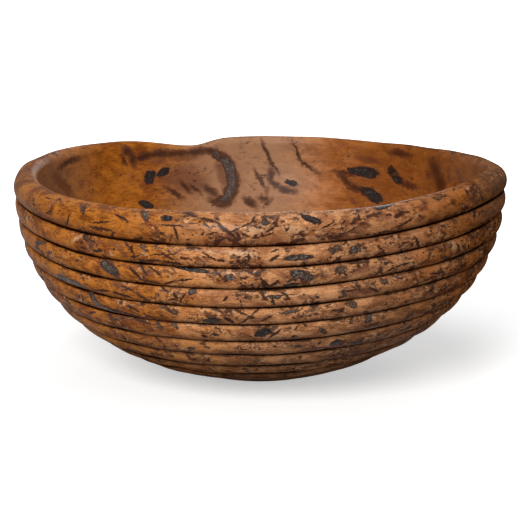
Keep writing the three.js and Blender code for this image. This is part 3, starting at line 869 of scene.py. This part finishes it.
    # Pale marks: tan flecks, and on the front of the rim wide ones that are a painted sheen
    colour = mix((paled + grit * 0.6).fade(0.2, 0.8) * 0.5, colour, colours.tan)
    halo = (inked + grit * 0.4).fade(0.12, 0.5) | (fringed + grit * 0.4).fade(0.1, 0.5)
    halo = (halo | (blurred + grit * 0.3).fade(-0.02, 0.4)) * 0.8 | (halo_long | halo_short) * 0.7
    colour = mix((halo | (clouded + grit * 0.6).fade(0.15, 0.7)) * 0.65, colour, colours.plum)
    ink = curls * sparse | strokes_long | strokes_short | dots * 0.8 | blots | blotch.fade(0.625, 0.65)
    ink = ink | (inked + grit * 0.45).fade(0.26, 0.5) | (slated + grit * 0.5).fade(0.3, 0.46)
    ink = ink | (fringed + grit * 0.7).fade(0.3, 0.5) | (blurred + grit * 0.3).fade(0.1, 0.8)
    colour = mix(ink * (0.94 - hollow * 0.2), colour, mix(grit.fade(-0.16, 0.16), colours.ink, colours.stain))
    grey = (blotch.fade(0.65, 0.68) | (slated + grit * 0.8).fade(0.46, 0.7)) * grit.fade(-0.12, 0.12)
    # Slate patches: grey mottled with paler spots, partly a painted highlight
    colour = mix(grey * 0.8, colour, mix(fibres.fade(0.4, 0.65), colours.slate, colours.slate_pale))

    # Each bead is paler on top, a painted sheen, and darker at its foot, painted shade where it turns down to
    # the groove below. Both are stronger low down, where the wall is painted darker towards the bottom as
    # shade. The rim's top is darker, and the right side, inside and out, and the far left get painted shade.
    low = height.fade(75, 15)
    wobble = (noise(place + 620, 4) - 0.5) * 0.9
    lower = recipe.attribute("lower") + wobble * 0.4
    # Painted sheen: greyish tan on the upper part of each bead, stronger low down
    top_sheen = lower.fade(0.55, 0.1) * (0.12 + 0.15 * low) * outside
    # Painted sheen: greyish tan on the rim's crest at both ends
    ends = across.fade(130, 170) * 0.4 + across.fade(-130, -170) * 0.15
    colour = mix(top_sheen | ends * height.fade(124, 131), colour, colours.sheen_tan)
    # Painted shade on the right side, inside and out, lower on the right, and at the far left
    shaded = across.fade(20, 110) * (0.18 + hollow * 0.2) | across.fade(-120, -165) * outside * 0.2
    shaded = shaded | across.fade(20, 90) * height.fade(75, 45) * outside * 0.33
    # Painted shade on the lower part of each bead, most near the groove below
    foot = lower.fade(0.3, 1) * (0.38 + 0.3 * low) + lower.fade(0.68, 0.95) * 0.3
    narrow = to_groove * (1 - height.fade(80, 12) * 0.6)
    # Darker in turn: the rim's top, the painted shade of the sides, painted shade towards the bottom, the
    # painted shade of the beads' feet, and painted shade beside the grooves
    for darker in (height.fade(122, 132) * outside * 0.16, shaded, height.fade(42, 2) * outside * 0.35, foot,
                   (narrow + wobble).fade(3, 1) * 0.5):
        colour = mix(darker, colour, colours.umber)
    # Painted shade: near black in the grooves, wider low down
    cut = (narrow + wobble * 0.8).fade(1.85, 1.05)
    colour = mix(cut * 0.97, colour, colours.groove)

    # Polish on what hands and cloths reach, and none low down and in the grooves
    dull = across.fade(60, 150) | height.fade(60, 20)
    polish = (1 - dull) * (1 - to_groove.fade(5, 1)) * (0.08 + 0.13 * clouds) * (1 - hollow * 0.4)
    roughness = 0.5 + (clouds - 0.5) * 0.2 - ink * 0.08 + cut * 0.3
    relief = (fibres * 0.2 - ink * 0.7 + pale * 0.2) * (1 - hollow * 0.7) + clouds * 0.3
    return recipe.finish(colour, roughness, relief, 0.3 * MM, **{
        "Coat Weight": polish, "Coat Roughness": 0.3, "Specular IOR Level": 0.0})


def bark(name, dark, colour, pale, wood):
    """Polished bark: mottled between two colours, where in the slate bark the paler is partly a painted
    highlight, with black cracks, spots of wood, and a ragged border that turns from black to the brown of the
    wood beside it, and is wider where the bark is soft."""
    recipe = Recipe(bpy.data.materials.new(name))
    noise, mix, place = recipe.noise, recipe.mix, recipe.place()
    edge, soft = recipe.attribute("edge"), recipe.attribute("soft")
    mottle = noise(place, 2.4, 4, 0.7)
    lumps = noise(place + 80, 5, 3, 0.6)
    streak = noise(place * (1, 1, 1.8) + 50, 1.4, 3, 0.6).fade(0.45, 0.56) * 0.9
    cracks = abs(noise(place + 130, 4.5, 3, 0.6) - 0.5).fade(0.035, 0.008)
    # The mottle's paler colour is, in the slate bark, partly a painted highlight
    shade = mix((mottle - soft * 0.06).fade(0.42, 0.6), colour, pale)
    shade = mix((streak | cracks) * (1 - soft * 0.55), shade, dark)
    shade = mix(lumps.fade(0.56, 0.64) * 0.8, shade, wood)
    shade = mix((edge + (lumps - 0.5) * 1.5).fade(0.6, 0.8) * 0.9, shade, dark)
    rim = edge + (mottle - 0.5) * (1.4 - soft) + (lumps - 0.5) * (0.6 + soft) + soft * 0.14
    shade = mix(rim.fade(0.8, 1.06) * 0.85, shade, wood)
    return recipe.finish(shade, 0.34 + mottle * 0.2, mottle, 0.3 * MM, **{"Specular IOR Level": 0.1})


def settings():
    return bpy.context.scene.burl_bowl


class BURLBOWL_OT_body(bpy.types.Operator):
    """Make the turned and beaded body of the bowl, with its waxed burl"""

    bl_idname = "burl_bowl.body"
    bl_label = "Turned body"

    def execute(self, context):
        sizes, colours = settings().sizes, settings().colours
        section = Section(sizes)
        ways = section.rows()
        azimuth = np.linspace(-math.pi, math.pi, COLUMNS, endpoint=False)
        grid = skin(section, azimuth[None, :], ways[1:-1, None])
        poles = [skin(section, np.zeros(1), ways[[end]]) for end in (0, -1)]
        points = np.concatenate([poles[0], grid.reshape(-1, 3), poles[1]])
        faces = round_faces(len(grid), COLUMNS)
        body = new_piece("turned_body", points, faces, ["bowl_body"])

        def spread(values):
            return np.concatenate([values[:1], np.repeat(values[1:-1], COLUMNS), values[-1:]])

        add_attribute(body, "groove", spread(to_nearest(ways, section.groove_ways) / MM))
        add_attribute(body, "lower", spread(section.down_bead(ways)))
        # At the back the calm of the hollow reaches over the crest
        inward = BACK_REACH * np.maximum(np.sin(azimuth), 0) - ways[1:-1, None]
        hollow = smoothstep(inward, *CALM_EDGE)
        add_attribute(body, "hollow", np.concatenate([[1], hollow.ravel(), [0]]))
        body.data.materials.append(burl_wood(colours, section))
        return {"FINISHED"}


class BURLBOWL_OT_bark(bpy.types.Operator):
    """Make the bark inclusions, each in its place in the wall"""

    bl_idname = "burl_bowl.bark"
    bl_label = "Bark inclusions"

    def execute(self, context):
        sizes, colours = settings().sizes, settings().colours
        section = Section(sizes)
        slate = bark("bark_slate", colours.soot, colours.slate, colours.slate_pale, colours.plum)
        dark = bark("bark_dark", colours.ink, colours.soot, colours.slate, colours.stain)
        for seed, (name, inclusion) in enumerate(BARK.items()):
            piece = bark_piece(section, name, inclusion, seed)
            piece.data.materials.append(dark if inclusion.dark else slate)
        return {"FINISHED"}


# The camera, as it was fitted to the outline, the grooves and the rim
CAMERA_ELEVATION = math.radians(12.49)
CAMERA_DISTANCE = 1.300
CAMERA_AIM = (-0.000857, 0.0, 0.07988)
CAMERA_LENS, CAMERA_SENSOR = 121.27, 36

# Soft lamps: place, size in metres, power in watts and colour
LAMPS = {
    "key": ((-0.5, -1.38, 0.85), 0.8, 26, (1.0, 0.99, 0.97)),
    "top": ((0, 0, 1.5), 0.9, 6.5, (1, 1, 1)),
    "fill": ((1.5, -0.5, 0.4), 0.9, 4.5, (1, 1, 1)),
    "back": ((0.3, 1.6, 0.5), 0.9, 8, (1, 1, 1)),
}
BOWL_MIDDLE = (0.0, 0.0, 0.074)
SURROUND_LIGHT = 0.22

# The floor: half its side in metres, its grey and white, and its glow near the bowl, which grows to 1
# between the two distances in millimetres
FLOOR_REACH = 6.0
FLOOR_TONES = (0.25, 0.8)
FLOOR_GLOW = 0.48
GLOW_GROWS = (200, 600)


def add_lamp(name, place, size, power, colour):
    """A round lamp that faces the middle of the bowl."""
    data = bpy.data.lights.new(name, "AREA")
    data.shape, data.size, data.energy, data.color = "DISK", size, power, colour
    lamp = new_object(name, data)
    lamp.location = place
    lamp.rotation_euler = (Vector(BOWL_MIDDLE) - Vector(place)).to_track_quat("-Z", "Y").to_euler()


def seen_by_eye(recipe):
    """1 on rays that show the background: the camera's, and those in mirrors and through glass."""
    path = recipe.node("LightPath", {}, {}, "Is Camera Ray")
    return path | path.output("Is Glossy Ray") | path.output("Is Transmission Ray")


def floor_paper():
    """Pale paper: grey to the light that it sends back to the bowl, and to the eye white away from the
    bowl, where a glow tops up the light, and shaded near it."""
    recipe = Recipe(bpy.data.materials.new("floor_paper"))
    grey, white = (recipe.node("BsdfDiffuse", {}, {"Color": (tone, tone, tone, 1)}) for tone in FLOOR_TONES)
    away = recipe.node("VectorMath", {"operation": "LENGTH"}, {0: recipe.place()}, "Value")
    strength = FLOOR_GLOW + away.fade(*GLOW_GROWS) * (1 - FLOOR_GLOW)
    glow = recipe.node("Emission", {}, {"Color": (1, 1, 1, 1), "Strength": strength})
    lit = recipe.node("AddShader", {}, {0: white, 1: glow})
    return recipe.surface(recipe.node("MixShader", {}, {0: seen_by_eye(recipe), 1: grey, 2: lit}))


def surround():
    """Even soft light from all round, and white to the eye."""
    recipe = Recipe(bpy.data.worlds.new("surround"))
    strength = SURROUND_LIGHT + seen_by_eye(recipe) * (1 - SURROUND_LIGHT)
    return recipe.surface(recipe.node("Background", {}, {"Color": (1, 1, 1, 1), "Strength": strength}),
                          "OutputWorld")


class BURLBOWL_OT_stage(bpy.types.Operator):
    """Set up the floor, the soft lamps, the pale surround and the camera"""

    bl_idname = "burl_bowl.stage"
    bl_label = "Stage"

    def execute(self, context):
        scene = context.scene
        corners = [(x * FLOOR_REACH, y * FLOOR_REACH, 0) for x, y in ((-1, -1), (1, -1), (1, 1), (-1, 1))]
        mesh = bpy.data.meshes.new("floor")
        mesh.from_pydata(corners, [], [(0, 1, 2, 3)])
        mesh.materials.append(floor_paper())
        floor = new_object("floor", mesh)
        for name, lamp in LAMPS.items():
            add_lamp(name, *lamp)
        scene.world = surround()

        data = bpy.data.cameras.new("camera")
        data.lens, data.sensor_width = CAMERA_LENS, CAMERA_SENSOR
        camera = scene.camera = new_object("camera", data)
        x, y, z = CAMERA_AIM
        camera.location = (x, y - CAMERA_DISTANCE * math.cos(CAMERA_ELEVATION),
                           z + CAMERA_DISTANCE * math.sin(CAMERA_ELEVATION))
        camera.rotation_euler = (math.pi / 2 - CAMERA_ELEVATION, 0, 0)
        scene.view_settings.view_transform = "Standard"
        return {"FINISHED"}


class BURLBOWL_PT_panel(bpy.types.Panel):
    """The bowl's sizes, colours and steps"""

    bl_label = "Burl Bowl"
    bl_idname = "BURLBOWL_PT_panel"
    bl_space_type = "VIEW_3D"
    bl_region_type = "UI"
    bl_category = "Burl Bowl"

    def draw(self, context):
        for group in (settings().sizes, settings().colours):
            box = self.layout.box()
            for name in group.bl_rna.properties.keys():
                if name not in ("rna_type", "name"):
                    box.prop(group, name)
        for operator in OPERATORS:
            self.layout.operator(operator.bl_idname)


OPERATORS = (BURLBOWL_OT_body, BURLBOWL_OT_bark, BURLBOWL_OT_stage)
CLASSES = (BURLBOWL_PG_sizes, BURLBOWL_PG_colours, BURLBOWL_PG_settings, *OPERATORS, BURLBOWL_PT_panel)


def register():
    for kind in CLASSES:
        bpy.utils.register_class(kind)
    bpy.types.Scene.burl_bowl = PointerProperty(type=BURLBOWL_PG_settings)


def unregister():
    del bpy.types.Scene.burl_bowl
    for kind in reversed(CLASSES):
        bpy.utils.unregister_class(kind)


def main():
    register()
    bpy.ops.burl_bowl.body()
    bpy.ops.burl_bowl.bark()
    bpy.ops.burl_bowl.stage()


if __name__ == "__main__":
    main()
